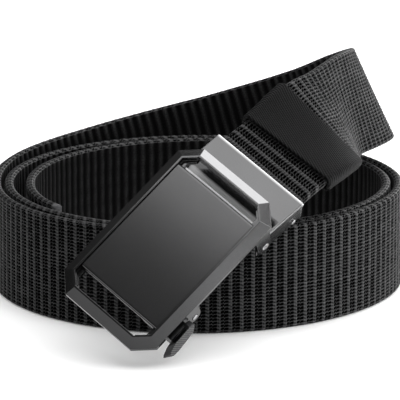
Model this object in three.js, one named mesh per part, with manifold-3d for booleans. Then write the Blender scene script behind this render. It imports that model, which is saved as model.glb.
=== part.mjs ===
// Webbing belt with a ratchet buckle, coiled and standing on its edge.
// Millimetres, +Z up. The coil's axis is vertical and the buckle leans on the coil's front.
import * as THREE from 'three';
import { mergeVertices } from 'three/addons/utils/BufferGeometryUtils.js';
import Module from 'manifold-3d';

const wasm = await Module();
wasm.setup();

// Strap.
const strapWidth = 35;
const strapThickness = 3.2;
const strapEdgeRound = 0.9;
const coilRadius = 66.8;

// Clearances.
const touchGap = 0.3;
const pinGap = 0.2;

// Keeper loop round the strap.
const keeperLength = 19;
const keeperWall = 1.3;
const keeperFromClamp = 12;
const keeperSteps = 4;

// Clamp housing's sheet, and the frame's cheeks outside it.
const clampSheet = 1.0;
const cheekThickness = 1.15;

// Frame, seen from its face: length along the belt, width across it.
const frameLength = 64.8;
const frameWidth = strapWidth + 2 * (clampSheet + 2 * touchGap + cheekThickness);
const frameChamferLength = 5.7;
const frameChamferWidth = 6.1;
const rimWidth = 3.7;
const rimFlat = 0.6;
const rimHeight = 2.6;
const skirtDepth = 1.6;
const ledgeWidth = 1.7;
const ledgeTop = 0.2;
const windowChamfer = 3.2;
const windowMargin = 3.6;
const skirtNotchPlay = 1.2;

// Face plate.
const plateLength = 45.8;
const plateThickness = 1.5;
const plateBelowRim = 0.55;
const plateEndRound = 1.0;
const plateSeat = 1.2;
const plateShift = 0.3;

// Clamp housing, folded from sheet; its far end dips behind the frame's plane.
const clampReach = 19.6;
const clampBehindHinge = 1.6;
const clampAboveHinge = 2.26;
const clampWallDepth = 8.2;
const clampDipDegrees = 15.2;
const clampCornerRound = 0.5;
const clampLip = 0.35;
const clampLipDepth = 1.4;
const clampEarDepth = 2.6;
const clampDishFrom = 2.2;
const clampDishTo = 8.8;

// Hinge between frame and clamp housing.
const hingeFromEnd = 9.93;
const hingeDepth = 9.2;
const hingePinRadius = 1.3;
const lugHalfLength = 3.0;

// Jaw that bites the strap's end.
const jawLength = 12;
const jawThickness = 3.0;
const jawPinRadius = 0.8;
const jawPinFromReach = 4.2;
const jawFromMouth = 1.2;
const strapFromHinge = clampDishTo + 2 * touchGap;
const strapInClamp = clampReach - strapFromHinge;

// Release lever.
const leverPinRadius = 1.0;
const leverPinFromMiddle = -10;
const leverPinDepth = 6.4;
const leverLugHalfLength = 2.6;
const leverBarHeight = 3.4;
const leverBarLength = 7.2;
const leverArmReach = 11.4;
const leverArmWidth = 10.8;
const leverStemLength = 7.2;
const leverStemAbovePin = 4.2;
const paddleThickness = 2.2;
const paddleStandOff = 0.45;
const paddleLength = 13.4;
const paddleDepth = 9.3;
const paddleBelowFace = 1.6;
const paddleFromPin = 2.5;
const toothDepth = 1.6;
const toothLength = 3.8;
const toothWidth = 24;

// Where the middle of the frame's outline lies, as shares of coilRadius, and which way it faces.
const frameCentre = new THREE.Vector3(-0.1533, -1.3458, 0.5141).multiplyScalar(coilRadius);
const alongBelt = new THREE.Vector3(0.6779, 0.36, 0.6409).normalize();
const acrossBelt = new THREE.Vector3(-0.7256, 0.4672, 0.5051);

// Route of the strap's middle line. turn: degrees round the coil from its left side, counted
// from the inner turn. radius: share of coilRadius. lift: share of strapWidth above the rest
// height. lean: degrees that the strap's width leans from the vertical.
const routeColumns = ['turn', 'radius', 'lift', 'lean'];
const route = [
  [-38, 0.891, 0, 0],
  [0, 0.866, 0, 0],
  [45, 0.884, 0, 0],
  [90, 0.910, 0, 0],
  [135, 0.922, 0, 0],
  [180, 0.950, 0, 0],
  [225, 0.944, 0, 0],
  [270, 0.962, 0, 0],
  [315, 0.976, 0, 0],
  [360, 0.975, 0, 0],
  [405, 0.980, 0, 0],
  [450, 0.976, 0, 0],
  [495, 0.988, 0, 0],
  [540, 1.013, 0, 0],
  [585, 1.004, 0, 0],
  [630, 1.022, 0, 0],
  [675, 1.046, 0, 0],
  [720, 1.042, 0, 0],
  [750, 1.068, 0.024, 5],
  [780, 1.084, 0.106, 10],
  [810, 1.099, 0.320, 12],
  [825, 1.121, 0.483, 10],
  [840, 1.142, 0.691, 2],
  [855, 1.124, 0.949, -12],
  [870, 1.024, 1.128, -25],
  [885, 0.863, 1.202, -21],
  [900, 0.753, 1.236, -16.5],
  [915, 0.728, 1.243, -20.5],
  [930, 0.766, 1.263, -31.5],
  [945, 0.840, 1.302, -46],
  [960, 0.918, 1.180, -58.5],
];
const column = Object.fromEntries(routeColumns.map((name, index) => [name, index]));

// Frame axes: x along the belt, y across it, z out of the face.
acrossBelt.addScaledVector(alongBelt, -acrossBelt.dot(alongBelt)).normalize();
const outOfFace = new THREE.Vector3().crossVectors(alongBelt, acrossBelt);
const frameMatrix = new THREE.Matrix4()
  .makeBasis(alongBelt, acrossBelt, outOfFace)
  .setPosition(frameCentre);
const hingeAlong = frameLength / 2 - hingeFromEnd;
const clampMatrix = frameMatrix.clone()
  .multiply(new THREE.Matrix4().makeTranslation(hingeAlong, 0, -hingeDepth))
  .multiply(new THREE.Matrix4().makeRotationY(THREE.MathUtils.degToRad(clampDipDegrees)));
const strapInClampHeight = clampAboveHinge - clampSheet - touchGap - strapThickness / 2;
const clampExit = new THREE.Vector3(clampReach, 0, strapInClampHeight).applyMatrix4(clampMatrix);
const clampAlong = new THREE.Vector3(1, 0, 0).transformDirection(clampMatrix);
const clampAcross = new THREE.Vector3(0, 1, 0).transformDirection(clampMatrix);

function leanOf(tangent, across) {
  const level = new THREE.Vector3(0, 0, -1);
  level.addScaledVector(tangent, -level.dot(tangent)).normalize();
  const side = new THREE.Vector3().crossVectors(tangent, level);
  return THREE.MathUtils.radToDeg(Math.atan2(across.dot(side), across.dot(level)));
}

function turnOf(point, near) {
  const angle = 180 - THREE.MathUtils.radToDeg(Math.atan2(point.y, point.x));
  return angle + 360 * Math.round((near - angle) / 360);
}

// The route in millimetres, with the clamp's mouth and one point inside the clamp as last rows.
function routeRows() {
  const rows = route.map((row) => [
    row[column.turn],
    row[column.radius] * coilRadius,
    strapWidth * (0.5 + row[column.lift]),
    row[column.lean],
  ]);
  const lean = leanOf(clampAlong, clampAcross.clone().negate());
  for (const back of [0, strapInClamp]) {
    const point = clampExit.clone().addScaledVector(clampAlong, -back);
    rows.push([turnOf(point, 972), Math.hypot(point.x, point.y), point.z, lean]);
  }
  return rows;
}

// Cubic through the rows, with the mean of the two neighbouring slopes at each row.
function interpolate(rows, turn) {
  let k = 0;
  while (k < rows.length - 2 && turn > rows[k + 1][0]) {
    k += 1;
  }
  const slope = (index, c) => {
    const low = Math.max(index - 1, 0);
    const high = Math.min(index + 1, rows.length - 1);
    const before = index === low ? null : (rows[index][c] - rows[low][c]) / (rows[index][0] - rows[low][0]);
    const after = index === high ? null : (rows[high][c] - rows[index][c]) / (rows[high][0] - rows[index][0]);
    if (before === null) return after;
    if (after === null) return before;
    return (before + after) / 2;
  };
  const span = rows[k + 1][0] - rows[k][0];
  const t = (turn - rows[k][0]) / span;
  return [1, 2, 3].map((c) => {
    const start = rows[k][c];
    const end = rows[k + 1][c];
    const bend = (1 - t) * (1 - t) * t * slope(k, c) - t * t * (1 - t) * slope(k + 1, c);
    return start + (end - start) * t * t * (3 - 2 * t) + bend * span;
  });
}

// The strap's line from inside the clamp to the cut end: points, tangents, width directions.
function strapLine() {
  const rows = routeRows();
  const exitTurn = rows[rows.length - 2][0];
  const points = [];
  const widths = [];
  const parts = 6;
  for (let i = 0; i < parts; i += 1) {
    const back = strapInClamp * (1 - i / parts);
    points.push(clampExit.clone().addScaledVector(clampAlong, -back));
    widths.push(null);
  }
  const samples = Math.ceil(exitTurn - rows[0][0]);
  for (let i = 0; i <= samples; i += 1) {
    const turn = exitTurn + (rows[0][0] - exitTurn) * (i / samples);
    const [radius, height, lean] = interpolate(rows, turn);
    const angle = THREE.MathUtils.degToRad(180 - turn);
    const tip = THREE.MathUtils.degToRad(lean);
    const rest = (strapWidth * Math.cos(tip) + strapThickness * Math.abs(Math.sin(tip))) / 2;
    points.push(new THREE.Vector3(
      radius * Math.cos(angle),
      radius * Math.sin(angle),
      Math.max(height, rest),
    ));
    widths.push(lean);
  }
  const lengths = [0];
  for (let i = 1; i < points.length; i += 1) {
    lengths.push(lengths[i - 1] + points[i].distanceTo(points[i - 1]));
  }
  const frames = points.map((point, i) => {
    const before = points[Math.max(i - 1, 0)];
    const after = points[Math.min(i + 1, points.length - 1)];
    const tangent = after.clone().sub(before).normalize();
    const down = new THREE.Vector3(0, 0, -1);
    if (widths[i] === null) {
      down.copy(clampAcross).negate();
      down.addScaledVector(tangent, -down.dot(tangent)).normalize();
    } else {
      down.addScaledVector(tangent, -down.dot(tangent)).normalize();
      down.applyAxisAngle(tangent, THREE.MathUtils.degToRad(widths[i]));
    }
    return { point, tangent, down };
  });
  return { frames, lengths, total: lengths[lengths.length - 1] };
}

const line = strapLine();

function stationAt(length) {
  let k = 0;
  while (k < line.lengths.length - 2 && length > line.lengths[k + 1]) {
    k += 1;
  }
  const t = (length - line.lengths[k]) / (line.lengths[k + 1] - line.lengths[k]);
  const a = line.frames[k];
  const b = line.frames[k + 1];
  const point = a.point.clone().lerp(b.point, t);
  const tangent = a.tangent.clone().lerp(b.tangent, t).normalize();
  const down = a.down.clone().lerp(b.down, t);
  down.addScaledVector(tangent, -down.dot(tangent)).normalize();
  const out = new THREE.Vector3().crossVectors(down, tangent);
  return { point, tangent, down, out };
}

const keeperStart = strapInClamp + keeperFromClamp;
const strapStep = keeperLength / keeperSteps;

// Lengths along the strap where it bends. The keeper's ends are two of them, so that strap
// and keeper bend at the same places.
function bendsBetween(from, to) {
  const lengths = [from];
  const first = Math.ceil((from - keeperStart) / strapStep + 0.05);
  for (let k = first; keeperStart + k * strapStep < to - 0.05 * strapStep; k += 1) {
    lengths.push(keeperStart + k * strapStep);
  }
  lengths.push(to);
  return lengths;
}

// A flat section carried along the strap's line: x is up the width, y is outward.
function alongStrap(shape, from, to, curveSegments) {
  const bends = bendsBetween(from, to);
  const steps = bends.length - 1;
  const geometry = new THREE.ExtrudeGeometry(shape, {
    depth: steps, steps, bevelEnabled: false, curveSegments,
  });
  const position = geometry.attributes.position;
  for (let i = 0; i < position.count; i += 1) {
    const station = stationAt(bends[Math.round(position.getZ(i))]);
    const place = station.point
      .addScaledVector(station.down, -position.getX(i))
      .addScaledVector(station.out, position.getY(i));
    position.setXYZ(i, place.x, place.y, place.z);
  }
  return geometry;
}

function roundedRectangle(width, height, radius) {
  const shape = new THREE.Shape();
  const x = width / 2;
  const y = height / 2;
  shape.moveTo(-x + radius, -y);
  shape.lineTo(x - radius, -y);
  shape.absarc(x - radius, -y + radius, radius, -Math.PI / 2, 0, false);
  shape.lineTo(x, y - radius);
  shape.absarc(x - radius, y - radius, radius, 0, Math.PI / 2, false);
  shape.lineTo(-x + radius, y);
  shape.absarc(-x + radius, y - radius, radius, Math.PI / 2, Math.PI, false);
  shape.lineTo(-x, -y + radius);
  shape.absarc(-x + radius, -y + radius, radius, Math.PI, Math.PI * 1.5, false);
  return shape;
}

function solid(geometry) {
  const bare = geometry.index ? geometry.toNonIndexed() : geometry.clone();
  for (const name of Object.keys(bare.attributes)) {
    if (name !== 'position') bare.deleteAttribute(name);
  }
  const merged = mergeVertices(bare, 1e-4);
  return new wasm.Manifold(new wasm.Mesh({
    numProp: 3,
    vertProperties: Float32Array.from(merged.attributes.position.array),
    triVerts: Uint32Array.from(merged.index.array),
  }));
}

function geometryOf(body) {
  const mesh = body.getMesh();
  const geometry = new THREE.BufferGeometry();
  geometry.setAttribute('position', new THREE.BufferAttribute(mesh.vertProperties, 3));
  geometry.setIndex(new THREE.BufferAttribute(mesh.triVerts, 1));
  geometry.computeVertexNormals();
  return geometry;
}

// A box from its low to its high corner.
function box(low, high) {
  const size = high.map((value, i) => value - low[i]);
  const geometry = new THREE.BoxGeometry(...size);
  geometry.translate(...low.map((value, i) => value + size[i] / 2));
  return solid(geometry);
}

// A pin or bore across the belt, centred on the belt's middle.
function crossPin(radius, length, along, height) {
  const geometry = new THREE.CylinderGeometry(radius, radius, length, 20);
  geometry.translate(along, 0, height);
  return solid(geometry);
}

function octagon(halfLength, halfWidth, cutLength, cutWidth) {
  const shape = new THREE.Shape();
  shape.moveTo(halfLength, -halfWidth + cutWidth);
  shape.lineTo(halfLength, halfWidth - cutWidth);
  shape.lineTo(halfLength - cutLength, halfWidth);
  shape.lineTo(-halfLength + cutLength, halfWidth);
  shape.lineTo(-halfLength, halfWidth - cutWidth);
  shape.lineTo(-halfLength, -halfWidth + cutWidth);
  shape.lineTo(-halfLength + cutLength, -halfWidth);
  shape.lineTo(halfLength - cutLength, -halfWidth);
  shape.closePath();
  return shape;
}

// An eight-sided block whose outline draws in by inset from its foot to its top.
function octagonBlock(inset, low, high, slope) {
  const cut = (offset) => octagon(
    frameLength / 2 - offset,
    frameWidth / 2 - offset,
    frameChamferLength - offset * 0.55,
    frameChamferWidth - offset * 0.55,
  );
  const geometry = new THREE.ExtrudeGeometry(cut(inset), {
    depth: high - low, bevelEnabled: false,
  });
  const outer = cut(inset).getPoints();
  const drawnIn = cut(inset + slope).getPoints();
  const position = geometry.attributes.position;
  for (let i = 0; i < position.count; i += 1) {
    if (position.getZ(i) > (high - low) / 2) {
      const nearest = outer.findIndex((corner) => (
        Math.hypot(corner.x - position.getX(i), corner.y - position.getY(i)) < 1e-4));
      position.setX(i, drawnIn[nearest].x);
      position.setY(i, drawnIn[nearest].y);
    }
  }
  geometry.translate(0, 0, low);
  return solid(geometry);
}

const innerHalfWidth = frameWidth / 2 - rimWidth;
const lugInner = frameWidth / 2 - cheekThickness;
const clampHalfWidth = lugInner - touchGap;

function lug(halfLength, along, depth, side) {
  const shape = new THREE.Shape();
  shape.moveTo(-halfLength, 0);
  shape.lineTo(-halfLength, -depth);
  shape.absarc(0, -depth, halfLength, Math.PI, Math.PI * 2, false);
  shape.lineTo(halfLength, 0);
  shape.closePath();
  const geometry = new THREE.ExtrudeGeometry(shape, {
    depth: frameWidth / 2 - lugInner, bevelEnabled: false, curveSegments: 16,
  });
  geometry.rotateX(Math.PI / 2);
  const shift = side > 0 ? frameWidth / 2 : -lugInner;
  geometry.translate(along, shift, -skirtDepth + 0.2);
  return solid(geometry);
}

function makeFrame() {
  let body = octagonBlock(0, 0, rimHeight, rimWidth - rimFlat);
  body = body.add(octagonBlock(0, -skirtDepth, 0.001, 0));
  body = body.subtract(octagonBlock(rimWidth, ledgeTop, rimHeight + 1, 0));
  const windowHalf = frameLength / 2 - rimWidth;
  const opening = octagon(windowHalf, innerHalfWidth - ledgeWidth, windowChamfer, windowChamfer);
  const through = new THREE.ExtrudeGeometry(opening, { depth: 20, bevelEnabled: false });
  through.translate(0, 0, -10);
  body = body.subtract(solid(through));
  for (const end of [-1, 1]) {
    const from = plateLength / 2 - plateSeat;
    const windowCut = box(
      [Math.min(end * from, end * windowHalf), -innerHalfWidth + windowMargin, -5],
      [Math.max(end * from, end * windowHalf), innerHalfWidth - windowMargin, 5],
    );
    body = body.subtract(windowCut);
  }
  const stemEnd = leverPinFromMiddle - leverArmReach;
  body = body.subtract(box(
    [stemEnd - skirtNotchPlay, -frameWidth / 2 - 1, -skirtDepth - 1],
    [stemEnd + leverStemLength + skirtNotchPlay, -innerHalfWidth - touchGap, -0.05],
  ));
  for (const side of [-1, 1]) {
    body = body.add(lug(lugHalfLength, hingeAlong, hingeDepth - skirtDepth + 0.2, side));
    body = body.add(lug(leverLugHalfLength, leverPinFromMiddle, leverPinDepth - skirtDepth + 0.2, side));
  }
  body = body.subtract(crossPin(hingePinRadius + pinGap, frameWidth + 4, hingeAlong, -hingeDepth));
  return body.subtract(crossPin(leverPinRadius + pinGap, frameWidth + 4, leverPinFromMiddle, -leverPinDepth));
}

// The plate's profile runs along the belt, with both end edges rounded over.
function makePlate() {
  const top = rimHeight - plateBelowRim;
  const half = plateLength / 2;
  const profile = new THREE.Shape();
  profile.moveTo(-half, top - plateThickness);
  profile.lineTo(half, top - plateThickness);
  profile.lineTo(half, top - plateEndRound);
  profile.absarc(half - plateEndRound, top - plateEndRound, plateEndRound, 0, Math.PI / 2, false);
  profile.lineTo(-half + plateEndRound, top);
  profile.absarc(-half + plateEndRound, top - plateEndRound, plateEndRound, Math.PI / 2, Math.PI, false);
  profile.closePath();
  const width = 2 * (innerHalfWidth - touchGap);
  const geometry = new THREE.ExtrudeGeometry(profile, {
    depth: width, bevelEnabled: false, curveSegments: 8,
  });
  geometry.rotateX(Math.PI / 2);
  geometry.translate(plateShift, width / 2, 0);
  return solid(geometry);
}

// The sunk part of the housing's plate under the frame's window: parallel to the frame's face,
// with a riser towards the hinge.
function makeDish(halfWidth) {
  const top = clampAboveHinge;
  const fall = (clampDishTo - clampDishFrom) * Math.tan(THREE.MathUtils.degToRad(clampDipDegrees));
  const lap = touchGap;
  const profile = new THREE.Shape();
  profile.moveTo(clampDishFrom - clampSheet / 2, top);
  profile.lineTo(clampDishFrom - clampSheet / 2, top - fall - clampSheet);
  profile.lineTo(clampDishFrom, top - fall - clampSheet);
  profile.lineTo(clampDishTo, top - clampSheet);
  profile.lineTo(clampDishTo + lap, top - clampSheet);
  profile.lineTo(clampDishTo + lap, top);
  profile.lineTo(clampDishTo, top);
  profile.lineTo(clampDishFrom + clampSheet / 2, top - fall);
  profile.lineTo(clampDishFrom + clampSheet / 2, top);
  profile.closePath();
  const geometry = new THREE.ExtrudeGeometry(profile, { depth: 2 * halfWidth, bevelEnabled: false });
  geometry.rotateX(Math.PI / 2);
  geometry.translate(0, halfWidth, 0);
  return solid(geometry);
}

// The housing's profile across the belt: a plate whose edges overhang two walls.
function makeClamp() {
  const half = clampHalfWidth;
  const top = clampAboveHinge;
  const foot = top - clampWallDepth;
  const profile = new THREE.Shape();
  profile.moveTo(-half + clampLip, foot);
  profile.lineTo(-half + clampSheet, foot);
  profile.lineTo(-half + clampSheet, top - clampSheet);
  profile.lineTo(half - clampSheet, top - clampSheet);
  profile.lineTo(half - clampSheet, foot);
  profile.lineTo(half - clampLip, foot);
  profile.lineTo(half - clampLip, top - clampLipDepth);
  profile.lineTo(half, top - clampLipDepth);
  profile.lineTo(half, top - clampCornerRound);
  profile.absarc(half - clampCornerRound, top - clampCornerRound, clampCornerRound, 0, Math.PI / 2, false);
  profile.lineTo(-half + clampCornerRound, top);
  profile.absarc(-half + clampCornerRound, top - clampCornerRound, clampCornerRound, Math.PI / 2, Math.PI, false);
  profile.lineTo(-half, top - clampLipDepth);
  profile.lineTo(-half + clampLip, top - clampLipDepth);
  profile.closePath();
  const length = clampReach + clampBehindHinge;
  const geometry = new THREE.ExtrudeGeometry(profile, {
    depth: length, bevelEnabled: false, curveSegments: 8,
  });
  geometry.rotateX(Math.PI / 2);
  geometry.rotateZ(Math.PI / 2);
  geometry.translate(-clampBehindHinge, 0, 0);
  let body = solid(geometry);
  for (const side of [-1, 1]) {
    const edge = side * (half - clampSheet / 2);
    body = body.add(box(
      [-clampBehindHinge, edge - clampSheet / 2, -clampEarDepth],
      [0.5, edge + clampSheet / 2, clampAboveHinge - clampCornerRound],
    ));
  }
  body = body.subtract(box(
    [clampDishFrom, -half + clampSheet, top - clampSheet - touchGap],
    [clampDishTo, half - clampSheet, top + clampSheet],
  ));
  body = body.add(makeDish(half - clampSheet / 2));
  body = body.subtract(crossPin(hingePinRadius + pinGap, frameWidth, 0, 0));
  return body.subtract(crossPin(jawPinRadius + pinGap, frameWidth, clampReach - jawPinFromReach, jawPinHeight));
}

const jawTop = strapInClampHeight - strapThickness / 2 - touchGap;
const jawPinHeight = jawTop - jawThickness / 2;

function makeJaw() {
  const half = clampHalfWidth - clampSheet - touchGap;
  const end = clampReach - jawFromMouth;
  const body = box([end - jawLength, -half, jawTop - jawThickness], [end, half, jawTop]);
  return body.subtract(crossPin(jawPinRadius + pinGap, frameWidth, clampReach - jawPinFromReach, jawPinHeight));
}

// The paddle's outline on its inner and its outer face, from its front top corner: shares of
// paddleLength back and of paddleDepth down.
const paddleColumns = ['innerBack', 'innerDown', 'outerBack', 'outerDown'];
const paddleOutline = [
  [0.01, 0.15, 0.00, 0.12],
  [0.03, 0.41, 0.03, 0.41],
  [0.11, 0.65, 0.10, 0.65],
  [0.37, 0.82, 0.37, 0.80],
  [0.66, 0.95, 0.65, 0.92],
  [0.89, 1.00, 0.80, 0.89],
  [1.00, 0.95, 0.87, 0.77],
  [0.97, 0.75, 0.87, 0.54],
  [0.82, 0.45, 0.80, 0.32],
  [0.65, 0.32, 0.62, 0.09],
  [0.14, 0.04, 0.14, 0.00],
];

function paddleFace(backColumn, downColumn) {
  const back = paddleColumns.indexOf(backColumn);
  const down = paddleColumns.indexOf(downColumn);
  return paddleOutline.map((row) => new THREE.Vector2(
    leverPinFromMiddle - paddleFromPin - row[back] * paddleLength,
    -paddleBelowFace - row[down] * paddleDepth,
  ));
}

function makePaddle() {
  const inner = paddleFace('innerBack', 'innerDown');
  const outer = paddleFace('outerBack', 'outerDown');
  const geometry = new THREE.ExtrudeGeometry(new THREE.Shape(inner), {
    depth: paddleThickness, bevelEnabled: false,
  });
  const position = geometry.attributes.position;
  for (let i = 0; i < position.count; i += 1) {
    if (position.getZ(i) > paddleThickness / 2) {
      const nearest = inner.findIndex((corner) => (
        Math.hypot(corner.x - position.getX(i), corner.y - position.getY(i)) < 1e-4));
      position.setX(i, outer[nearest].x);
      position.setY(i, outer[nearest].y);
    }
  }
  geometry.rotateX(Math.PI / 2);
  geometry.translate(0, -frameWidth / 2 - paddleStandOff, 0);
  return solid(geometry);
}

function makeLever() {
  const pinHeight = -leverPinDepth;
  const inner = lugInner - touchGap;
  const half = leverBarHeight / 2;
  const outside = frameWidth / 2 + paddleStandOff;
  const barBack = leverPinFromMiddle - leverBarLength / 2;
  const barFront = leverPinFromMiddle + leverBarLength / 2;
  const armEnd = leverPinFromMiddle - leverArmReach;
  let body = box([barBack, -inner, pinHeight - half], [barFront, inner, pinHeight + half]);
  body = body.add(box(
    [armEnd, -inner, pinHeight - half],
    [barBack + touchGap, -inner + leverArmWidth, pinHeight + half - touchGap],
  ));
  body = body.add(box(
    [armEnd, -outside - paddleThickness / 4, pinHeight - half + touchGap],
    [armEnd + leverStemLength, -inner + clampSheet, pinHeight + leverStemAbovePin],
  ));
  const tooth = new THREE.Shape();
  tooth.moveTo(barFront - toothLength, pinHeight + half - touchGap);
  tooth.lineTo(barFront, pinHeight + half - touchGap);
  tooth.lineTo(barFront, pinHeight + half + toothDepth);
  tooth.closePath();
  const toothSolid = new THREE.ExtrudeGeometry(tooth, { depth: toothWidth, bevelEnabled: false });
  toothSolid.rotateX(Math.PI / 2);
  toothSolid.translate(0, toothWidth / 2, 0);
  body = body.add(solid(toothSolid));
  body = body.add(makePaddle());
  return body.subtract(crossPin(leverPinRadius + pinGap, frameWidth, leverPinFromMiddle, pinHeight));
}

const finishes = {
  webbing: { color: 0x17181a, roughness: 0.85, metalness: 0 },
  elastic: { color: 0x1b1c1f, roughness: 0.8, metalness: 0 },
  gunmetal: { color: 0x3a3b3e, roughness: 0.28, metalness: 0.9 },
  glossPlate: { color: 0x2c2d30, roughness: 0.16, metalness: 0.9 },
  satinSteel: { color: 0x77797d, roughness: 0.35, metalness: 0.95 },
  brightPin: { color: 0xb9bbbe, roughness: 0.3, metalness: 1 },
  darkLever: { color: 0x2a2b2d, roughness: 0.45, metalness: 0.85 },
};

const group = new THREE.Group();
group.name = 'ratchet_belt';

function place(name, geometry, finish, matrix) {
  if (matrix) geometry.applyMatrix4(matrix);
  const mesh = new THREE.Mesh(geometry, new THREE.MeshStandardMaterial(finishes[finish]));
  mesh.name = name;
  group.add(mesh);
}

const strapShape = roundedRectangle(strapWidth, strapThickness, strapEdgeRound);
place('strap', geometryOf(solid(alongStrap(strapShape, 0, line.total, 1))), 'webbing');

const loopHeight = strapThickness + 2 * touchGap;
const loopWidth = strapWidth + 2 * touchGap;
const keeperOutside = roundedRectangle(loopWidth + 2 * keeperWall, loopHeight + 2 * keeperWall, keeperWall + 0.6);
const keeperInside = roundedRectangle(loopWidth, loopHeight, strapEdgeRound);
const keeperEnd = keeperStart + keeperLength;
const keeper = solid(alongStrap(keeperOutside, keeperStart, keeperEnd, 3))
  .subtract(solid(alongStrap(keeperInside, keeperStart - strapStep, keeperEnd + strapStep, 1)));
place('keeper_loop', geometryOf(keeper), 'elastic');

place('buckle_frame', geometryOf(makeFrame()), 'gunmetal', frameMatrix);
place('face_plate', geometryOf(makePlate()), 'glossPlate', frameMatrix);
place('release_lever', geometryOf(makeLever()), 'darkLever', frameMatrix);
const leverPin = crossPin(leverPinRadius, frameWidth + 0.4, leverPinFromMiddle, -leverPinDepth);
place('lever_pin', geometryOf(leverPin), 'brightPin', frameMatrix);
const hingePin = crossPin(hingePinRadius, frameWidth + 0.4, hingeAlong, -hingeDepth);
place('hinge_pin', geometryOf(hingePin), 'brightPin', frameMatrix);
place('clamp_housing', geometryOf(makeClamp()), 'satinSteel', clampMatrix);
place('clamp_jaw', geometryOf(makeJaw()), 'darkLever', clampMatrix);
const jawPin = crossPin(jawPinRadius, 2 * clampHalfWidth + 0.4, clampReach - jawPinFromReach, jawPinHeight);
place('jaw_pin', geometryOf(jawPin), 'brightPin', clampMatrix);

// The origin goes under the middle of the whole belt, on the surface that it stands on.
const bounds = new THREE.Box3().setFromObject(group);
const middle = bounds.getCenter(new THREE.Vector3());
for (const mesh of group.children) {
  mesh.geometry.translate(-middle.x, -middle.y, -bounds.min.z);
}

export default group;
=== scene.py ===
import math

import bpy
import numpy as np
from mathutils import Matrix, Vector


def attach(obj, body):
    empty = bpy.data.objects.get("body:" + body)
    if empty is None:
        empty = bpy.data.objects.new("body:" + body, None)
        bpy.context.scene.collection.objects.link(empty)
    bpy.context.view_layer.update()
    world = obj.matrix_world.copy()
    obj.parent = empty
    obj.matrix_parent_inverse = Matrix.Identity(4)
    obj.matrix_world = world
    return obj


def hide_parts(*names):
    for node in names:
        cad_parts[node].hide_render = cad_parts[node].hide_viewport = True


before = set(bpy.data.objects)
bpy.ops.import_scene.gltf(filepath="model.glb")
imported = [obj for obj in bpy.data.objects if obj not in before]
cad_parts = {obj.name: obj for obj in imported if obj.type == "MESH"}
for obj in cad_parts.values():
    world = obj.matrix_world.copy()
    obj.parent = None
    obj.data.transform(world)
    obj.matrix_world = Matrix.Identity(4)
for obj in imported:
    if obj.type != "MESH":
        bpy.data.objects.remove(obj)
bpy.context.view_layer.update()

MM = 0.001

# Strap, in millimetres: the same line as the CAD strap, in the coil's own frame.
STRAP_WIDTH = 35.0
STRAP_THICKNESS = 3.2
COIL_RADIUS = 66.8
COIL_AXIS = (1.0251, 15.2816)
STRAP_IN_CLAMP = 10.2
TOUCH_GAP = 0.3
ENTRY_TURN = 972  # about the turn in degrees at which the strap enters the clamp
CURVE_SAMPLES = 2600
STRAIGHT_SAMPLES = 30

# Keeper, in millimetres.
KEEPER_FROM_CLAMP = 12.0
KEEPER_LENGTH = 19.0
KEEPER_WALL = 1.3
KEEPER_CORNER = 0.9
KEEPER_EDGE = 0.5
KEEPER_SAG = 0.22
KEEPER_STEP = 0.8
KEEPER_ROWS = 36

# Weave, in millimetres.
RIB_PITCH = 3.7
STEPS_ACROSS = 29
INNER_PITCH = 3.4
OUTER_RELIEF = 0.75
INNER_RELIEF = 0.34
SELVAGE = 1.0
OUTER_LEVEL = 0.95  # the height that lies on the CAD strap's outer face, as a share of the relief
INNER_LEVEL = 0.8
EDGE_STEPS = 12
EDGE_REACH = 1.6  # weave in millimetres for each radian round an edge
EDGE_SLANT = 0.4
EDGE_SWELL = 0.3
SEALED_LENGTH = 3.0
SEALED_BLEND = 2.4

# Places in one pitch of the weave, as shares of the pitch.
FIRST_CORD = 1 / 12
SECOND_CORD = 3 / 12
CORDS_MIDDLE = 2 / 12
LADDER_MIDDLE = 7.5 / 12
CLIMB_START = 0.52
CLIMB_LENGTH = 0.21

# Frame pose, in the coil's frame.
FRAME_CENTRE = np.array([-0.1533, -1.3458, 0.5141]) * COIL_RADIUS
ALONG = np.array([0.6779, 0.36, 0.6409])
ACROSS = np.array([-0.7256, 0.4672, 0.5051])
ALONG /= np.linalg.norm(ALONG)
ACROSS -= ALONG * (ACROSS @ ALONG)
ACROSS /= np.linalg.norm(ACROSS)
OUT_OF_FACE = np.cross(ALONG, ACROSS)
HINGE = (22.47, -9.2)
CLAMP_DIP = math.radians(15.2)
CLAMP_ALONG = ALONG * math.cos(CLAMP_DIP) - OUT_OF_FACE * math.sin(CLAMP_DIP)
CLAMP_OUT = OUT_OF_FACE * math.cos(CLAMP_DIP) + ALONG * math.sin(CLAMP_DIP)
CLAMP_REACH = 19.6
CLAMP_ABOVE_HINGE = 2.26
CLAMP_SHEET = 1.0
STRAP_IN_CLAMP_HEIGHT = CLAMP_ABOVE_HINGE - CLAMP_SHEET - TOUCH_GAP - STRAP_THICKNESS / 2

# Camera, in millimetres in the coil's frame.
CAMERA_ELEVATION = 14.17
CAMERA_DISTANCE = 1200.0
CAMERA_TARGET_HEIGHT = 27.4
CAMERA_LENS = 315.9
SENSOR_WIDTH = 36.0

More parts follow.
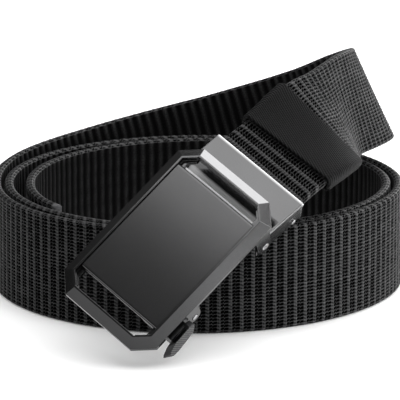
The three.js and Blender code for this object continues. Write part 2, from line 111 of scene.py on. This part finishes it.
# Rows of the strap's line: turn in degrees, radius as a share of COIL_RADIUS, lift as a share
# of STRAP_WIDTH, lean in degrees.
ROUTE = [
    (-38, 0.891, 0, 0),
    (0, 0.866, 0, 0),
    (45, 0.884, 0, 0),
    (90, 0.910, 0, 0),
    (135, 0.922, 0, 0),
    (180, 0.950, 0, 0),
    (225, 0.944, 0, 0),
    (270, 0.962, 0, 0),
    (315, 0.976, 0, 0),
    (360, 0.975, 0, 0),
    (405, 0.980, 0, 0),
    (450, 0.976, 0, 0),
    (495, 0.988, 0, 0),
    (540, 1.013, 0, 0),
    (585, 1.004, 0, 0),
    (630, 1.022, 0, 0),
    (675, 1.046, 0, 0),
    (720, 1.042, 0, 0),
    (750, 1.068, 0.024, 5),
    (780, 1.084, 0.106, 10),
    (810, 1.099, 0.320, 12),
    (825, 1.121, 0.483, 10),
    (840, 1.142, 0.691, 2),
    (855, 1.124, 0.949, -12),
    (870, 1.024, 1.128, -25),
    (885, 0.863, 1.202, -21),
    (900, 0.753, 1.236, -16.5),
    (915, 0.728, 1.243, -20.5),
    (930, 0.766, 1.263, -31.5),
    (945, 0.840, 1.302, -46),
    (960, 0.918, 1.180, -58.5),
]


def unit(v):
    """The vectors v at length 1."""
    return v / np.linalg.norm(v, axis=-1, keepdims=True)


def strap_line():
    """The strap's middle line from inside the clamp to the cut end.
    Radius, height and lean are cubics of the turn through the rows, with the mean of the two
    neighbouring slopes at each row. The width direction is the downward vertical, made square to
    the line and turned about it by the lean."""
    hinge = FRAME_CENTRE + ALONG * HINGE[0] + OUT_OF_FACE * HINGE[1]
    mouth = hinge + CLAMP_ALONG * CLAMP_REACH + CLAMP_OUT * STRAP_IN_CLAMP_HEIGHT
    level = np.array([0.0, 0.0, -1.0])
    level = unit(level - CLAMP_ALONG * (level @ CLAMP_ALONG))
    side = np.cross(CLAMP_ALONG, level)
    lean = math.degrees(math.atan2(-ACROSS @ side, -ACROSS @ level))
    rows = [
        (t, r * COIL_RADIUS, STRAP_WIDTH * (0.5 + h), w) for t, r, h, w in ROUTE
    ]
    for back in (0.0, STRAP_IN_CLAMP):
        p = mouth - CLAMP_ALONG * back
        angle = 180 - math.degrees(math.atan2(p[1], p[0]))
        angle += 360 * round((ENTRY_TURN - angle) / 360)
        rows.append((angle, math.hypot(p[0], p[1]), p[2], lean))
    rows = np.array(rows)
    t, y = rows[:, 0], rows[:, 1:]
    slope = np.diff(y, axis=0) / np.diff(t)[:, None]
    mean = np.vstack([slope[:1], (slope[1:] + slope[:-1]) / 2, slope[-1:]])
    turn = np.linspace(t[-2], t[0], CURVE_SAMPLES)
    k = np.clip(np.searchsorted(t, turn) - 1, 0, len(t) - 2)
    span = (t[k + 1] - t[k])[:, None]
    f = (turn - t[k])[:, None] / span
    value = y[k] + (y[k + 1] - y[k]) * f * f * (3 - 2 * f)
    value += span * ((1 - f) ** 2 * f * mean[k] - f * f * (1 - f) * mean[k + 1])
    radius, height, lean = value.T
    tip = np.radians(lean)
    rest = (STRAP_WIDTH * np.cos(tip) + STRAP_THICKNESS * np.abs(np.sin(tip))) / 2
    angle = np.radians(180 - turn)
    curve = np.stack(
        [radius * np.cos(angle), radius * np.sin(angle), np.maximum(height, rest)], 1
    )
    back = np.linspace(STRAP_IN_CLAMP, 0, STRAIGHT_SAMPLES, endpoint=False)[:, None]
    straight = mouth - CLAMP_ALONG * back
    points = np.vstack([straight, curve])
    lengths = np.r_[0, np.cumsum(np.linalg.norm(np.diff(points, axis=0), axis=1))]
    tangent = unit(np.gradient(points, lengths, axis=0))
    down = np.tile([0.0, 0.0, -1.0], (len(points), 1))
    down = unit(down - tangent * np.sum(down * tangent, 1, keepdims=True))
    leans = np.radians(np.r_[np.full(len(straight), rows[-1, 3]), lean])[:, None]
    down = down * np.cos(leans) + np.cross(tangent, down) * np.sin(leans)
    points[:, 0] += COIL_AXIS[0]
    points[:, 1] += COIL_AXIS[1]
    return points, tangent, down, lengths


LINE_POINTS, LINE_TANGENT, LINE_DOWN, LINE_LENGTHS = strap_line()
STRAP_LENGTH = LINE_LENGTHS[-1]


def stations(s):
    """Point, width direction (up) and outward direction of the strap at lengths s."""

    def pick(table):
        return np.stack([np.interp(s, LINE_LENGTHS, column) for column in table.T], -1)

    point, tangent, down = pick(LINE_POINTS), unit(pick(LINE_TANGENT)), pick(LINE_DOWN)
    down = unit(down - tangent * np.sum(down * tangent, -1, keepdims=True))
    return point, -down, np.cross(down, tangent)


def grid_mesh(name, points, closed_u, closed_v, uv=None, values=None, caps=False):
    """A surface from a grid of points in millimetres, u along the first axis."""
    nu, nv = points.shape[:2]
    index = np.arange(nu * nv).reshape(nu, nv)
    a = np.arange(nu if closed_u else nu - 1)
    b = np.arange(nv if closed_v else nv - 1)
    ia, ib = np.meshgrid(a, b, indexing="ij")
    ja, jb = (ia + 1) % nu, (ib + 1) % nv
    quads = np.stack([index[ia, ib], index[ja, ib], index[ja, jb], index[ia, jb]], -1)
    quads = quads.reshape(-1, 4)
    mesh = bpy.data.meshes.new(name)
    ends = 2 if caps else 0
    loops = len(quads) * 4 + ends * nv
    mesh.vertices.add(nu * nv)
    mesh.vertices.foreach_set("co", (points.reshape(-1) * MM).astype(np.float32))
    mesh.loops.add(loops)
    mesh.polygons.add(len(quads) + ends)
    order = [quads.reshape(-1)]
    starts = [np.arange(len(quads)) * 4]
    if caps:
        order += [index[0], index[-1][::-1]]
        starts += [np.array([len(quads) * 4, len(quads) * 4 + nv])]
    order = np.concatenate(order)
    mesh.loops.foreach_set("vertex_index", order.astype(np.int32))
    mesh.polygons.foreach_set("loop_start", np.concatenate(starts).astype(np.int32))
    mesh.update(calc_edges=True)
    if uv is not None:
        layer = mesh.uv_layers.new(name="UVMap")
        layer.data.foreach_set("uv", uv.reshape(-1, 2)[order].reshape(-1).astype(np.float32))
    for key, value in (values or {}).items():
        attribute = mesh.attributes.new(key, "FLOAT", "POINT")
        attribute.data.foreach_set("value", value.reshape(-1).astype(np.float32))
    mesh.shade_smooth()
    obj = bpy.data.objects.new(name, mesh)
    bpy.context.scene.collection.objects.link(obj)
    return obj


def bump(x, width):
    """One smooth bump of height 1 at 0 that ends at width on both sides."""
    return np.cos(np.clip(x / width, -1, 1) * np.pi / 2) ** 2


def wrap(x):
    """x less its nearest whole number, -0.5 to 0.5."""
    return (x + 0.5) % 1 - 0.5


def scatter(n):
    """A value of 0 to 1 for each whole number n: the fraction of a large sine."""
    return (np.sin(n * 12.9898) * 4375.85) % 1


def outer_relief(s, x):
    """Height of the outer face, about 0 to 1, at length s and place x across.
    Each pitch has a band of two thin cords across the strap, then an open ladder whose rungs
    climb one step in a smooth S. A rung is a bump about its own line across, higher in the
    ladder's middle. The band is a flat top with soft flanks, times a base, plus a bump for each
    cord, plus a cosine of the step that slants across the band. The height is the greater of
    band and rung, and each step is made uneven by its own fixed value."""
    phase = (s / RIB_PITCH) % 1
    step = (x / (STRAP_WIDTH - 2 * SELVAGE) + 0.5) * STEPS_ACROSS
    drift = 0.08 * np.sin(x * 0.6 + s * 0.05) + 0.05 * np.sin(s * 0.31)
    uneven = scatter(np.floor(step) + 37 * np.floor(s / RIB_PITCH))
    cords = np.maximum(
        bump(wrap(phase - FIRST_CORD), 0.11), bump(wrap(phase - SECOND_CORD), 0.11)
    )
    slant = np.cos(2 * np.pi * step + 9 * phase)
    cords = 0.5 + 0.22 * cords + (0.15 + 0.1 * uneven) * slant
    cords *= bump(np.maximum(np.abs(wrap(phase - CORDS_MIDDLE)) - 0.15, 0), 0.1)
    rise = np.clip((phase - CLIMB_START) / CLIMB_LENGTH, 0, 1)
    climb = rise * rise * (3 - 2 * rise)
    middle = bump(wrap(phase - LADDER_MIDDLE), 0.14)
    rung = bump(wrap(step - climb + drift), 0.42 + 0.08 * middle)
    rung = rung * (0.82 + 0.12 * middle - 0.2 * uneven) + 0.05 * middle
    return np.maximum(cords, rung)


def inner_relief(s, x):
    """Height of the inner face, 0 to 1: a squared cosine bump for each rib across the strap,
    a little wavy, times a fine cosine along the rib."""
    phase = s / INNER_PITCH + 0.02 * np.sin(x * 0.7)
    return bump(wrap(phase), 0.42) * (0.86 + 0.14 * np.cos(2 * np.pi * x / 1.1))


def strap_section(name, start, end, per_pitch, outer_count, inner_count, body):
    """One stretch of the strap as a closed tube, a grid of length s by the way round the section.
    A point is the line's point at s, plus x along the width, plus y outwards. On the faces x
    runs evenly and y is half the thickness plus the relief of the weave. At the edges x and y
    are the sine and cosine of a half turn, swollen by the relief, which runs on there with a
    slant. start and end are lengths, per_pitch the rows in one pitch of the weave, outer_count
    and inner_count the columns of the two faces."""
    steps = int(round((end - start) / RIB_PITCH * per_pitch))
    s = np.linspace(start, end, steps + 1)
    flat = STRAP_WIDTH / 2 - SELVAGE
    face = STRAP_THICKNESS / 2
    arc = np.linspace(0, np.pi, EDGE_STEPS + 1)[1:-1][None]
    reach = EDGE_REACH * arc
    # Each part holds x, y and the relief attribute: the level from which the shader paints shade
    # in the holes and grooves and highlights on the raised yarn.
    strip, edges = [], []
    S, X = np.meshgrid(s, np.linspace(-flat, flat, outer_count + 1), indexing="ij")
    rise = outer_relief(S, X)
    strip.append((X, face + (rise - OUTER_LEVEL) * OUTER_RELIEF, rise))
    for side in (1, -1):
        rise = outer_relief(s[:, None] + EDGE_SLANT * reach, side * (flat + reach))
        # Painted highlight: on the edges the shading level is lifted to 0.15 + 0.9 of the weave's
        # height.
        rise = 0.15 + 0.9 * rise
        swell = (rise - INNER_LEVEL) * EDGE_SWELL
        x = side * (flat + np.sin(arc) * (SELVAGE + swell))
        edges.append((x, np.cos(arc) * (face - 0.1 + swell), rise))
    strip.append(edges[0])
    S, X = np.meshgrid(s, np.linspace(flat, -flat, inner_count + 1), indexing="ij")
    rise = inner_relief(S, X)
    # The inner face's shading level, 0.43 + 0.16 of the rib height: painted highlights on the ribs
    # and painted shade between them.
    strip.append((X, -face - (rise - INNER_LEVEL) * INNER_RELIEF, 0.43 + 0.16 * rise))
    strip.append(tuple(part[:, ::-1] for part in edges[1]))
    x, y, relief = (np.concatenate([part[k] for part in strip], 1) for k in range(3))
    point, up, out = stations(s)
    places = point[:, None] + up[:, None] * x[..., None] + out[:, None] * y[..., None]
    along = np.broadcast_to(s[:, None], x.shape)
    sealed = np.clip((along - STRAP_LENGTH + SEALED_LENGTH) / SEALED_BLEND, 0, 1)
    values = {"relief": relief, "sealed": sealed}
    uv = np.stack([along, x], -1) * MM
    obj = grid_mesh(name, places, False, True, uv, values, caps=True)
    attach(obj, body)
    return obj


def keeper_mesh(name, body):
    """The keeper: a band closed round the strap, a grid of the way round by its own section.
    The way round is a rectangle with quarter-circle corners: four corner centres plus a distance
    along the corner's direction. The section is a flat bar with half ellipses at its edges, as
    place along the strap and distance outwards. The flat sides sag by half a sine wave."""
    half = (STRAP_WIDTH / 2 + TOUCH_GAP, STRAP_THICKNESS / 2 + TOUCH_GAP)
    quarter = np.linspace(0, np.pi / 2, 9)
    corners = []
    for turn, (side, face) in enumerate(((1, 1), (-1, 1), (-1, -1), (1, -1))):
        direction = quarter + turn * np.pi / 2
        corners.append(np.stack([
            np.full(quarter.shape, side * (half[0] - KEEPER_CORNER)),
            np.full(quarter.shape, face * (half[1] - KEEPER_CORNER)),
            np.cos(direction),
            np.sin(direction),
        ], 1))
    ring = np.concatenate(corners)
    fine = []
    for here, there in zip(ring, np.roll(ring, -1, axis=0)):
        count = max(1, int(np.hypot(*(there[:2] - here[:2])) / KEEPER_STEP))
        fine += [here + (there - here) * k / count for k in range(count)]
    ring = np.array(fine)
    far = KEEPER_LENGTH - KEEPER_EDGE
    along = np.linspace(KEEPER_EDGE, far, KEEPER_ROWS)
    turn = np.linspace(0, np.pi, 8)[1:-1]
    middle = KEEPER_WALL / 2
    section_along = np.concatenate([
        along, far + KEEPER_EDGE * np.sin(turn),
        along[::-1], KEEPER_EDGE - KEEPER_EDGE * np.sin(turn),
    ])
    section_out = np.concatenate([
        np.full(KEEPER_ROWS, KEEPER_WALL), middle + middle * np.cos(turn),
        np.zeros(KEEPER_ROWS), middle - middle * np.cos(turn),
    ])
    x = ring[:, None, 0] + ring[:, None, 2] * (KEEPER_CORNER + section_out[None])
    y = ring[:, None, 1] + ring[:, None, 3] * (KEEPER_CORNER + section_out[None])
    flat_part = np.clip((half[0] - 1 - np.abs(ring[:, None, 0])) / 4, 0, 1)
    sag = KEEPER_SAG * flat_part * np.sin(np.pi * section_along / KEEPER_LENGTH)[None]
    y = y - sag * np.sign(y)
    s = STRAP_IN_CLAMP + KEEPER_FROM_CLAMP + section_along
    point, up, out = stations(s)
    places = point[None] + up[None] * x[..., None] + out[None] * y[..., None]
    outline = ring[:, :2] + ring[:, 2:] * KEEPER_CORNER
    round_length = np.r_[0, np.cumsum(np.hypot(*np.diff(outline, axis=0).T))]
    uv = np.stack(np.broadcast_arrays(s[None], round_length[:, None]), -1) * MM
    obj = grid_mesh(name, places, True, True, uv)
    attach(obj, body)
    return obj


# Materials. Noise scales are cells in a metre, and bump distances are metres.

# Bounds of local finishes and of painted light, in metres from the frame's middle.
SUNK_PART_END = (0.0275, 0.0285)
SUNK_PART_SIDE = (0.0165, 0.0175)
PAINTED_HIGHLIGHT_RIM = (0.0427, 0.0436)
PADDLE_FACE = (-0.0235, -0.0225)
PAINTED_REFLECTION_SPAN = (-0.036, 0.02)


def rgb(code):
    """A colour for the shaders, from its sRGB hexadecimal code."""
    part = [int(code[i : i + 2], 16) / 255 for i in (1, 3, 5)]
    return [c / 12.92 if c <= 0.04045 else ((c + 0.055) / 1.055) ** 2.4 for c in part] + [1.0]


def new_material(name, **values):
    """A material, its node tree and its shader, with the shader's sockets set by name."""
    material = bpy.data.materials.new(name)
    material.use_nodes = True
    tree = material.node_tree
    shader = tree.nodes["Principled BSDF"]
    for key, value in values.items():
        shader.inputs[key.replace("_", " ")].default_value = value
    return material, tree, shader


def add(tree, kind, inputs=None, **settings):
    """Adds one node. inputs maps a socket's name or number to a value or to another socket."""
    node = tree.nodes.new("ShaderNode" + kind)
    for key, value in settings.items():
        setattr(node, key, value)
    for key, value in (inputs or {}).items():
        socket = node.inputs[key]
        if isinstance(value, bpy.types.NodeSocket):
            tree.links.new(value, socket)
        else:
            socket.default_value = value
    return node


def blend_colours(tree, factor, low, high):
    """A colour between two codes, low where factor is 0 and high where it is 1."""
    node = add(tree, "Mix", {0: factor, 6: rgb(low), 7: rgb(high)}, data_type="RGBA")
    return node.outputs[2]


def webbing_material():
    """Black nylon webbing: dark grey on the yarn, light where the cut end is sealed by heat. The
    relief attribute sets colour
    and specular level: painted shade, near black, in the holes and painted highlight on the raised
    yarn."""
    material, tree, shader = new_material("black_nylon_webbing", Roughness=0.48)
    relief = add(tree, "Attribute", attribute_name="relief").outputs["Fac"]
    sealed = add(tree, "Attribute", attribute_name="sealed").outputs["Fac"]
    uv = add(tree, "UVMap", uv_map="UVMap").outputs["UV"]
    noise = add(tree, "TexNoise", {"Vector": uv, "Scale": 1900.0, "Detail": 2.0})
    # Painted shade and highlight: the relief attribute drops the colour and the specular level to
    # near nothing in the holes and raises both on the raised yarn; the noise adds random tone.
    raised = add(tree, "MapRange", {"Value": relief, 1: 0.34, 2: 1.0},
                 interpolation_type="SMOOTHSTEP")
    shine = add(tree, "MapRange", {"Value": raised.outputs[0], 3: 0.0, 4: 0.42})
    tree.links.new(shine.outputs[0], shader.inputs["Specular IOR Level"])
    level = add(tree, "MapRange", {"Value": noise.outputs["Fac"], 1: 0.36, 2: 0.66,
                                   3: 0.4, 4: 1.15})
    level = add(tree, "Math", {0: raised.outputs[0], 1: level.outputs[0]}, operation="MULTIPLY")
    yarn_colour = blend_colours(tree, level.outputs[0], "#010101", "#464647")
    fuzz = blend_colours(tree, noise.outputs["Fac"], "#262627", "#7c7c7e")
    both = add(tree, "Mix", {0: sealed, 6: yarn_colour, 7: fuzz}, data_type="RGBA")
    tree.links.new(both.outputs[2], shader.inputs["Base Color"])
    yarn = add(tree, "TexNoise", {"Vector": uv, "Scale": 2600.0, "Detail": 2.0})
    soft = add(tree, "Bump", {"Height": yarn.outputs["Fac"], "Strength": 0.5, "Distance": 0.00025})
    tree.links.new(soft.outputs[0], shader.inputs["Normal"])
    shader.inputs["Sheen Weight"].default_value = 0.12
    shader.inputs["Sheen Roughness"].default_value = 0.2
    return material


def stripes(tree, uv, across, pitch_mm):
    """A wave of 0 to 1 whose crests are pitch_mm apart, square to the direction across."""
    angle = 2 * math.pi / (pitch_mm * MM)
    turned = add(tree, "VectorMath", {0: uv, 1: [c * angle for c in across]},
                 operation="DOT_PRODUCT")
    wave = add(tree, "Math", {0: turned.outputs["Value"]}, operation="SINE")
    return add(tree, "MapRange", {"Value": wave.outputs[0], 1: -1.0, 2: 1.0}).outputs[0]


def elastic_material():
    """Black twill elastic: fine slanting ribs crossed by a fainter set, darker in their grooves as
    painted shade.
    """
    material, tree, shader = new_material("black_twill_elastic", Roughness=0.6)
    uv = add(tree, "UVMap", uv_map="UVMap").outputs["UV"]
    ribs = stripes(tree, uv, (0.93, 0.37, 0.0), 0.72)
    cross = stripes(tree, uv, (0.5, -0.87, 0.0), 0.9)
    noise = add(tree, "TexNoise", {"Vector": uv, "Scale": 1400.0, "Detail": 3.0})
    both = add(tree, "Math", {0: cross, 1: 0.35, 2: ribs}, operation="MULTIPLY_ADD")
    both = add(tree, "Math", {0: noise.outputs["Fac"], 1: 0.5, 2: both.outputs[0]},
               operation="MULTIPLY_ADD")
    # The colour follows the bump height: painted shade in the grooves, plus random tone from the
    # noise.
    level = add(tree, "MapRange", {"Value": both.outputs[0], 1: 0.6, 2: 1.3})
    colour = blend_colours(tree, level.outputs[0], "#010101", "#121213")
    tree.links.new(colour, shader.inputs["Base Color"])
    soft = add(tree, "Bump", {"Height": both.outputs[0], "Strength": 0.8, "Distance": 0.00025})
    tree.links.new(soft.outputs[0], shader.inputs["Normal"])
    shader.inputs["Specular IOR Level"].default_value = 0.1
    return material


def metal_material(name, low, high, roughness, spread, edge_mm, grain=900.0):
    """Plated metal: a slow cloud in colour, a fine one in roughness, and edges that are shaded
    as if rounded by edge_mm."""
    material, tree, shader = new_material(name, Metallic=1.0)
    place = add(tree, "TexCoord").outputs["Object"]
    cloud = add(tree, "TexNoise", {"Vector": place, "Scale": 45.0, "Detail": 4.0})
    colour = blend_colours(tree, cloud.outputs["Fac"], low, high)
    tree.links.new(colour, shader.inputs["Base Color"])
    fine = add(tree, "TexNoise", {"Vector": place, "Scale": grain, "Detail": 2.0})
    rough = add(tree, "MapRange", {"Value": fine.outputs["Fac"], 1: 0.3, 2: 0.7,
                                   3: roughness - spread, 4: roughness + spread})
    tree.links.new(rough.outputs[0], shader.inputs["Roughness"])
    edge = add(tree, "Bevel", {"Radius": edge_mm * MM}, samples=6)
    dents = add(tree, "Bump", {"Height": fine.outputs["Fac"], "Strength": 0.04,
                               "Distance": 0.00005, "Normal": edge.outputs[0]})
    tree.links.new(dents.outputs[0], shader.inputs["Normal"])
    return material, tree, shader


def frame_offset(tree, direction):
    """The distance in metres of the shaded point from the frame's middle, along a direction."""
    middle = FRAME_CENTRE + np.array([*COIL_AXIS, 0.0])
    place = add(tree, "TexCoord").outputs["Object"]
    dot = add(tree, "VectorMath", {0: place, 1: [float(c) for c in direction]},
              operation="DOT_PRODUCT")
    start = float(middle @ direction) * MM
    return add(tree, "Math", {0: dot.outputs["Value"], 1: start}, operation="SUBTRACT").outputs[0]


def frame_material():
    """Gloss plated frame with a painted reflection: its colour darkens towards the lever's end and
    lightens towards the hinge.
    """
    material, tree, shader = metal_material(
        "gloss_gunmetal", "#484848", "#565657", roughness=0.13, spread=0.015, edge_mm=0.26)
    # Painted reflection: the colour is scaled from 0.55 towards the lever's end up to 1.3 towards
    # the hinge.
    painted_reflection_scale = add(tree, "MapRange", {"Value": frame_offset(tree, ALONG),
                                  1: PAINTED_REFLECTION_SPAN[0], 2: PAINTED_REFLECTION_SPAN[1], 3: 0.55, 4: 1.3},
               interpolation_type="SMOOTHSTEP")
    colour = shader.inputs["Base Color"].links[0].from_socket
    colour_with_painted_reflection = add(tree, "VectorMath", {0: colour, "Scale": painted_reflection_scale.outputs[0]}, operation="SCALE")
    tree.links.new(colour_with_painted_reflection.outputs[0], shader.inputs["Base Color"])
    return material


def clamp_material():
    """Plated clamp: polished outside, duller in the sunk part under the window, where it is also
    painted lighter as painted light, and with a painted highlight along the rim where the strap
    comes out."""
    material, tree, shader = metal_material(
        "satin_gunmetal", "#5a5a5a", "#646465", roughness=0.16, spread=0.02, edge_mm=0.5)
    # Painted light: the sunk part under the window gets the lighter colour #a2a2a3 as well as a
    # duller roughness.
    beyond = add(tree, "MapRange", {"Value": frame_offset(tree, ALONG),
                                    1: SUNK_PART_END[0], 2: SUNK_PART_END[1]})
    side = add(tree, "Math", {0: frame_offset(tree, ACROSS)}, operation="ABSOLUTE")
    wall = add(tree, "MapRange", {"Value": side.outputs[0],
                                  1: SUNK_PART_SIDE[0], 2: SUNK_PART_SIDE[1]})
    outside = add(tree, "Math", {0: beyond.outputs[0], 1: wall.outputs[0]}, operation="MAXIMUM")
    colour = shader.inputs["Base Color"].links[0].from_socket
    mix = add(tree, "Mix", {0: outside.outputs[0], 6: rgb("#a2a2a3"), 7: colour},
              data_type="RGBA")
    tree.links.new(mix.outputs[2], shader.inputs["Base Color"])
    rough = shader.inputs["Roughness"].links[0].from_socket
    mix = add(tree, "Mix", {0: outside.outputs[0], 2: 0.5, 3: rough}, data_type="FLOAT")
    tree.links.new(mix.outputs[0], shader.inputs["Roughness"])
    # Painted highlight: a bright band, #b8b8b9, along the rim where the strap comes out.
    rim_highlight = add(tree, "MapRange", {"Value": frame_offset(tree, CLAMP_ALONG),
                                 1: PAINTED_HIGHLIGHT_RIM[0], 2: PAINTED_HIGHLIGHT_RIM[1]})
    colour = shader.inputs["Base Color"].links[0].from_socket
    mix = add(tree, "Mix", {0: rim_highlight.outputs[0], 6: colour, 7: rgb("#b8b8b9")}, data_type="RGBA")
    tree.links.new(mix.outputs[2], shader.inputs["Base Color"])
    return material


def lever_material():
    """Dark lever with fine slanting ribs on the outer face of its paddle."""
    material, tree, shader = metal_material(
        "dark_satin_metal", "#3c3c3d", "#474748", roughness=0.34, spread=0.05, edge_mm=0.25)
    run = frame_offset(tree, unit(ALONG + 0.45 * OUT_OF_FACE))
    angle = add(tree, "Math", {0: run, 1: 2 * math.pi / (0.8 * MM)}, operation="MULTIPLY")
    wave = add(tree, "Math", {0: angle.outputs[0]}, operation="SINE")
    outer = add(tree, "MapRange", {"Value": frame_offset(tree, ACROSS),
                                   1: PADDLE_FACE[0], 2: PADDLE_FACE[1], 3: 1.0, 4: 0.0})
    ribs = add(tree, "Math", {0: wave.outputs[0], 1: outer.outputs[0]}, operation="MULTIPLY")
    dents = add(tree, "Bump", {"Height": ribs.outputs[0], "Strength": 1.0, "Distance": 0.0002,
                               "Normal": shader.inputs["Normal"].links[0].from_socket})
    tree.links.new(dents.outputs[0], shader.inputs["Normal"])
    return material


def paint(obj, material):
    """Gives the object this one material."""
    obj.data.materials.clear()
    obj.data.materials.append(material)


webbing = webbing_material()
elastic = elastic_material()
frame_metal = frame_material()
plate_metal = metal_material(
    "polished_dark_plate", "#525252", "#5a5a5b",
    roughness=0.14, spread=0.01, edge_mm=0.2, grain=1500.0)[0]
clamp_metal = clamp_material()
lever_metal = lever_material()
pin_metal = metal_material(
    "bright_steel", "#bcbcbc", "#d0d0d1", roughness=0.25, spread=0.05, edge_mm=0.3)[0]

# The strap: fine where its outer face is seen, plainer on the inner turns.
ROWS_PER_PITCH = 12
PITCHES_PER_STRETCH = 44
FINE_STRETCHES = 4
cuts = [RIB_PITCH * (PITCHES_PER_STRETCH * n) for n in range(FINE_STRETCHES + 1)]
sections = [
    strap_section(f"strap_outer_turn_{n + 1}", cuts[n], cuts[n + 1], ROWS_PER_PITCH,
                  outer_count=116, inner_count=14, body="belt")
    for n in range(FINE_STRETCHES)
]
sections.append(
    strap_section("strap_inner_turns", cuts[-1], STRAP_LENGTH, ROWS_PER_PITCH,
                  outer_count=20, inner_count=12, body="belt")
)
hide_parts("strap")
keeper = keeper_mesh("keeper_band", "belt")
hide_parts("keeper_loop")
for piece in sections:
    paint(piece, webbing)
paint(keeper, elastic)

CAD_FINISH = {
    "strap": webbing,
    "keeper_loop": elastic,
    "buckle_frame": frame_metal,
    "face_plate": plate_metal,
    "clamp_housing": clamp_metal,
    "clamp_jaw": lever_metal,
    "release_lever": lever_metal,
    "hinge_pin": pin_metal,
    "jaw_pin": pin_metal,
    "lever_pin": pin_metal,
}
for node, material in CAD_FINISH.items():
    paint(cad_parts[node], material)

# Room, light and camera.

FLOOR_REACH = 6.0
# Middle of the painted shadow where the buckle shades the floor, in millimetres.
BUCKLE_SHADE = (-30.0, -72.0)


def floor_plane():
    """The pale floor. It glows a little as painted light outside the coil, with no glow inside the
    coil as painted shade, less glow as a painted shadow in the buckle's shade, and more far away,
    so that it fades into a pale ground."""
    mesh = bpy.data.meshes.new("studio_floor")
    square = ((-1, -1), (1, -1), (1, 1), (-1, 1))
    corners = [(x * FLOOR_REACH, y * FLOOR_REACH, 0) for x, y in square]
    mesh.from_pydata(corners, [], [(0, 1, 2, 3)])
    obj = bpy.data.objects.new("studio_floor", mesh)
    bpy.context.scene.collection.objects.link(obj)
    material, tree, shader = new_material("pale_floor", Roughness=0.7)
    place = add(tree, "TexCoord").outputs["Object"]
    cloud = add(tree, "TexNoise", {"Vector": place, "Scale": 6.0})
    colour = blend_colours(tree, cloud.outputs["Fac"], "#f6f6f6", "#f9f9f9")
    for socket in ("Base Color", "Emission Color"):
        tree.links.new(colour, shader.inputs[socket])

    def ramp(middle, start, end, low, high):
        """low up to start metres from a middle in millimetres, high from end metres on."""
        away = add(tree, "VectorMath", {0: place, 1: (middle[0] * MM, middle[1] * MM, 0.0)},
                   operation="DISTANCE")
        return add(tree, "MapRange", {"Value": away.outputs["Value"], 1: start, 2: end,
                                      3: low, 4: high}).outputs[0]

    # Painted light: the glow lifts the floor's shadows outside the coil; no glow inside the coil
    # paints shade under it, and the cut to a quarter near the buckle is a painted shadow.
    near = ramp(COIL_AXIS, 0.062, 0.078, 0.0, 0.34)
    far = ramp(COIL_AXIS, 0.6, 1.6, 0.0, 0.5)
    painted_buckle_shadow = ramp(BUCKLE_SHADE, 0.012, 0.055, 0.25, 1.0)
    glow = add(tree, "Math", {0: near, 1: painted_buckle_shadow, 2: far}, operation="MULTIPLY_ADD")
    tree.links.new(glow.outputs[0], shader.inputs["Emission Strength"])
    paint(obj, material)
    return obj


floor_plane()


def soft_box(name, place, aim, width, height, radiance, turn=0.0):
    """A pale rectangle of light in metres, turned about the vertical by turn degrees."""
    light = bpy.data.lights.new(name, "AREA")
    light.shape = "RECTANGLE"
    light.size, light.size_y = width, height
    light.energy = radiance * math.pi * width * height
    obj = bpy.data.objects.new(name, light)
    bpy.context.scene.collection.objects.link(obj)
    obj.location = place
    facing = (Vector(aim) - Vector(place)).to_track_quat("-Z", "Y").to_matrix()
    facing = Matrix.Rotation(math.radians(turn), 3, "Z") @ facing
    obj.rotation_euler = facing.to_euler()


PART_MIDDLE = (0.0, 0.0, 0.03)
soft_box("overhead_box", (0.1, 0.02, 0.75), (0.1, 0.02, 0.0), 1.16, 1.1, 2.2, turn=42.0)
for name, place, width, height, radiance in (
    ("back_right_box", (0.42, 0.52, 0.78), 0.34, 0.3, 4.6),
    ("right_box", (1.05, 0.15, 0.35), 0.6, 0.5, 5.0),
    ("front_right_box", (0.986, -0.394, 0.2), 0.8, 0.4, 7.0),
    ("corner_box", (0.72, -0.28, 0.74), 0.5, 0.5, 1.3),
    ("back_box", (0.55, 1.25, 0.3), 0.8, 0.5, 3.5),
    ("left_box", (-1.0, -0.2, 0.6), 0.7, 0.7, 0.5),
):
    soft_box(name, place, PART_MIDDLE, width, height, radiance)

world = bpy.data.worlds.new("pale_studio")
bpy.context.scene.world = world
world.use_nodes = True
background = world.node_tree.nodes["Background"]
background.inputs["Color"].default_value = (1, 1, 1, 1)
background.inputs["Strength"].default_value = 0.15

camera_data = bpy.data.cameras.new("camera")
camera = bpy.data.objects.new("camera", camera_data)
bpy.context.scene.collection.objects.link(camera)
bpy.context.scene.camera = camera
camera_data.sensor_width = SENSOR_WIDTH
camera_data.lens = CAMERA_LENS
camera_data.dof.use_dof = False
rise = math.radians(CAMERA_ELEVATION)
toward = Vector((0, -math.cos(rise), math.sin(rise)))
target = Vector((COIL_AXIS[0], COIL_AXIS[1], CAMERA_TARGET_HEIGHT)) * MM
camera.location = target + toward * CAMERA_DISTANCE * MM
camera.rotation_euler = (-toward).to_track_quat("-Z", "Y").to_euler()
camera_data.clip_start, camera_data.clip_end = 0.05, 20.0

bpy.context.scene.view_settings.view_transform = "Standard"
